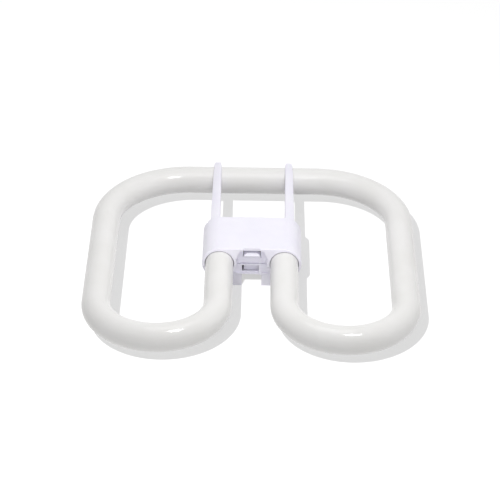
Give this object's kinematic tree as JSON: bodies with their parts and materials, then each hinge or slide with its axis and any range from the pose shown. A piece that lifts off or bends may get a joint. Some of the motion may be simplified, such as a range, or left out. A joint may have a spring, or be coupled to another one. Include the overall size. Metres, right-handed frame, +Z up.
{
  "type": "square compact fluorescent lamp",
  "caption": "Square flat compact fluorescent lamp: a white glass tube bent into two D shapes, held by a plastic base with arms and recessed contact pins.",
  "frame": {"origin": "centre of the footprint, on the surface that the lamp lies on with its pins down", "axes": "+Z up through the printed face of the base, -Y towards the round ends of the two D shapes, +X to the right seen from there"},
  "size_m": [0.207, 0.208, 0.0303],
  "materials": {
    "phosphor_glass": "glossy glass, coated white inside, opaque",
    "white_plastic": "satin moulded plastic, white with a faint lavender tint",
    "brass": "satin metal",
    "tinned_wire": "satin tinned metal"
  },
  "bodies": {
    "root": {"discharge_tube": "phosphor_glass", "base_cover": "white_plastic", "base_body": "white_plastic", "contact_pin_1": "brass", "contact_pin_2": "brass", "contact_pin_3": "brass", "contact_pin_4": "brass", "lead_wire_1": "tinned_wire", "lead_wire_2": "tinned_wire", "lead_wire_3": "tinned_wire", "lead_wire_4": "tinned_wire"}
  },
  "joints": []
}
